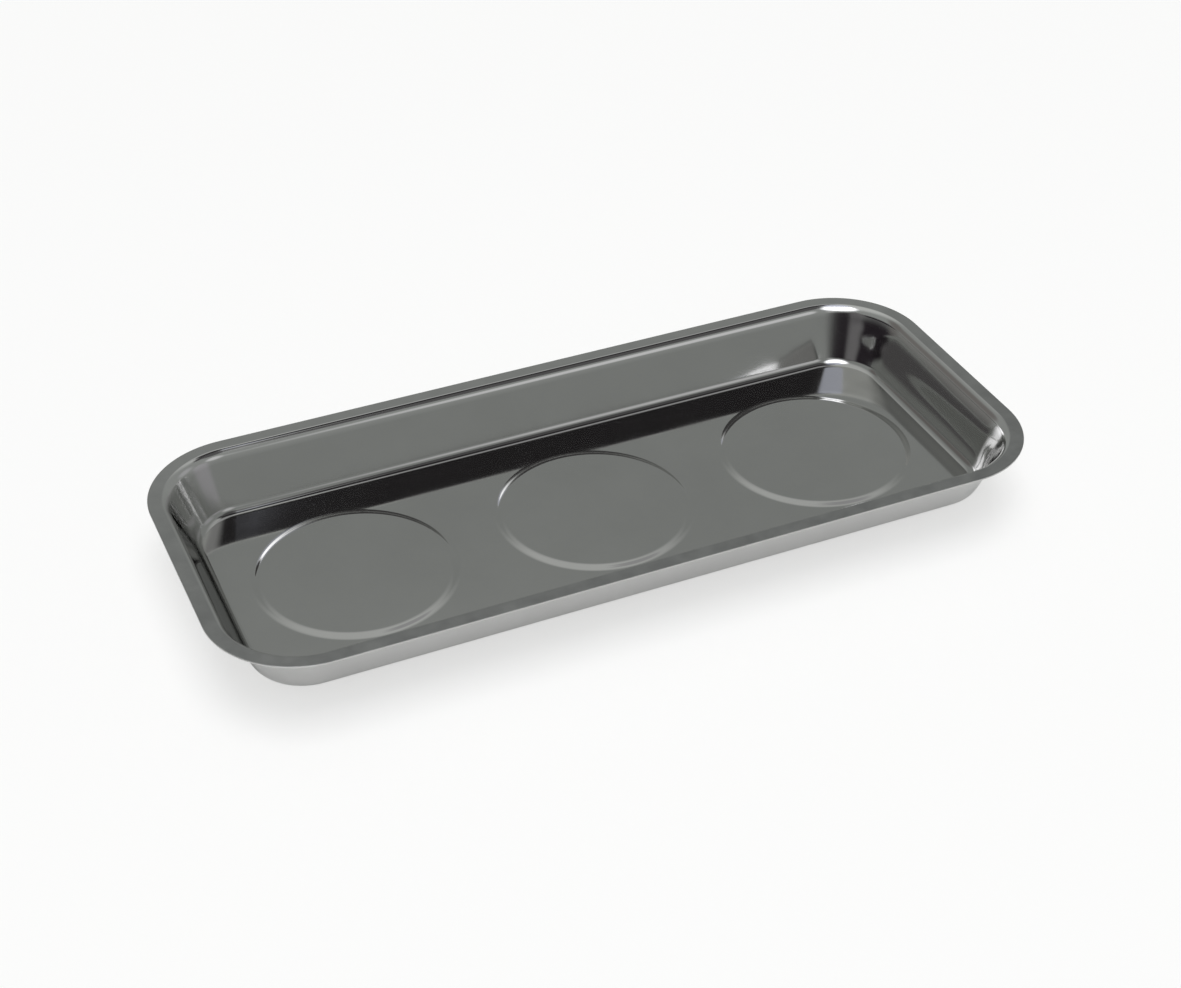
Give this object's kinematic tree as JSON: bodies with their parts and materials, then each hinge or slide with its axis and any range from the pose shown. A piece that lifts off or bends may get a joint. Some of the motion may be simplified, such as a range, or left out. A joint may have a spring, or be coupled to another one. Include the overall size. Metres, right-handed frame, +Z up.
{
  "type": "magnetic parts tray",
  "caption": "Long shallow tray drawn from polished stainless sheet, with a flat flange and raised round pads over rubber-covered ring magnets that hold it and loose parts to steel.",
  "frame": {"origin": "on the plane that the rubber covers stand on, under the middle of the tray", "axes": "+X along the tray's length to the right, +Y across it to the back, +Z up out of the tray"},
  "size_m": [0.35, 0.1524, 0.0364],
  "materials": {
    "stainless": "mirror-polished stainless sheet",
    "boss_steel": "plain turned steel",
    "zinc_fastener": "bright zinc plate",
    "pole_steel": "zinc-plated mild steel",
    "ferrite": "sintered ferrite, matt dark grey",
    "retainer_steel": "zinc-plated pressed steel",
    "rubber": "moulded matt black rubber"
  },
  "bodies": {
    "root": {"tray": "stainless", "weld_bosses": "boss_steel", "washers": "zinc_fastener", "screws": "zinc_fastener", "pole_plate_left": "pole_steel", "pole_plate_centre": "pole_steel", "pole_plate_right": "pole_steel", "ring_magnet_left": "ferrite", "ring_magnet_centre": "ferrite", "ring_magnet_right": "ferrite", "retainer_left": "retainer_steel", "retainer_centre": "retainer_steel", "retainer_right": "retainer_steel", "rubber_cover_left": "rubber", "rubber_cover_centre": "rubber", "rubber_cover_right": "rubber"}
  },
  "joints": []
}
